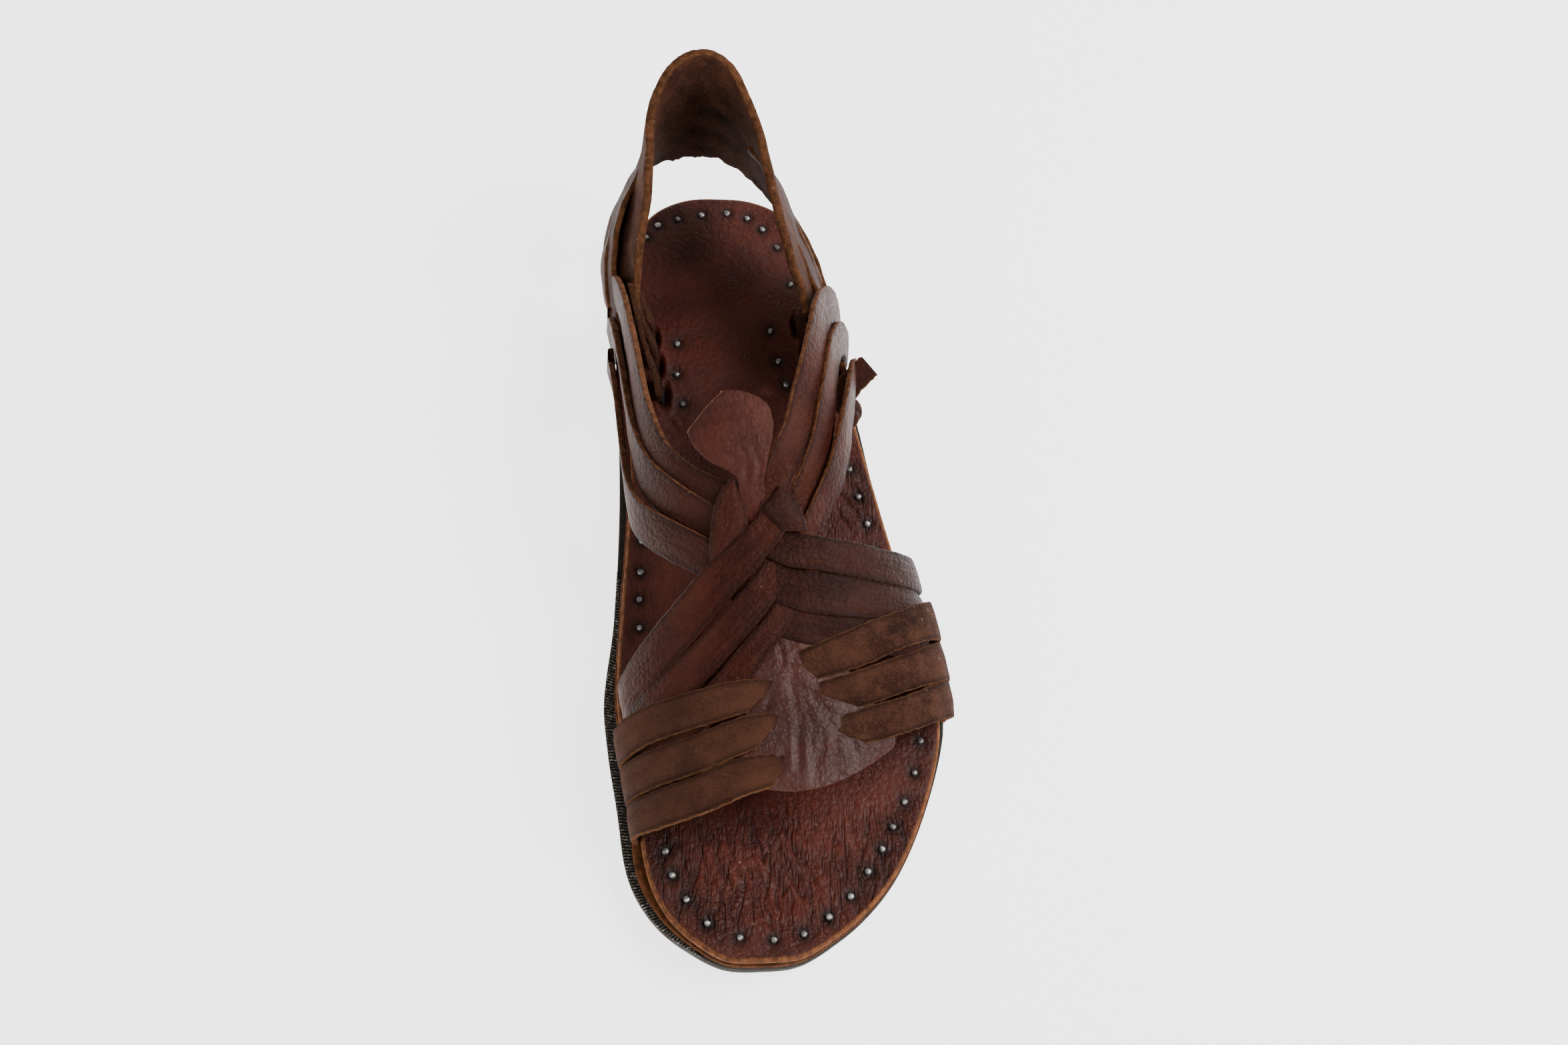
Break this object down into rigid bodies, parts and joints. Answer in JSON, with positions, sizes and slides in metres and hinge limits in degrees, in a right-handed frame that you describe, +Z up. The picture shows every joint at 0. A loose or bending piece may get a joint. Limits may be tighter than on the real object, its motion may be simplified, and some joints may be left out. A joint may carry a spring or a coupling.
{
  "type": "huarache sandal",
  "caption": "Hand-woven leather huarache sandal for the left foot, with an open toe, a heel band and a nailed tyre-rubber sole.",
  "frame": {"origin": "centre of the bounding box in plan, on the floor that the sole stands on", "axes": "+X to the outer (lateral) side, +Y from the toes to the heel, +Z up"},
  "size_m": [0.11, 0.2832, 0.0951],
  "materials": {
    "outsole_rubber": "rough tyre rubber",
    "heel_rubber": "rough tyre rubber",
    "midsole_leather": "raw tan leather with cut edges",
    "footbed_leather": "dark red-brown, worn and wrinkled",
    "upper_leather": "oiled red-brown grain, flesh side out on the returned straps",
    "nail_metal": "dull worn steel"
  },
  "bodies": {
    "root": {"outsole": "outsole_rubber", "heel_lift": "heel_rubber", "midsole": "midsole_leather", "footbed": "footbed_leather", "upper": "upper_leather", "nail_01": "nail_metal", "nail_02": "nail_metal", "nail_03": "nail_metal", "nail_04": "nail_metal", "nail_05": "nail_metal", "nail_06": "nail_metal", "nail_07": "nail_metal", "nail_08": "nail_metal", "nail_09": "nail_metal", "nail_10": "nail_metal", "nail_11": "nail_metal", "nail_12": "nail_metal", "nail_13": "nail_metal", "nail_14": "nail_metal", "nail_15": "nail_metal", "nail_16": "nail_metal", "nail_17": "nail_metal", "nail_18": "nail_metal", "nail_19": "nail_metal", "nail_20": "nail_metal", "nail_21": "nail_metal", "nail_22": "nail_metal", "nail_23": "nail_metal", "nail_24": "nail_metal", "nail_25": "nail_metal", "nail_26": "nail_metal", "nail_27": "nail_metal", "nail_28": "nail_metal", "nail_29": "nail_metal", "nail_30": "nail_metal", "nail_31": "nail_metal", "nail_32": "nail_metal", "nail_33": "nail_metal", "nail_34": "nail_metal", "nail_35": "nail_metal", "nail_36": "nail_metal", "nail_37": "nail_metal", "nail_38": "nail_metal"}
  },
  "joints": []
}
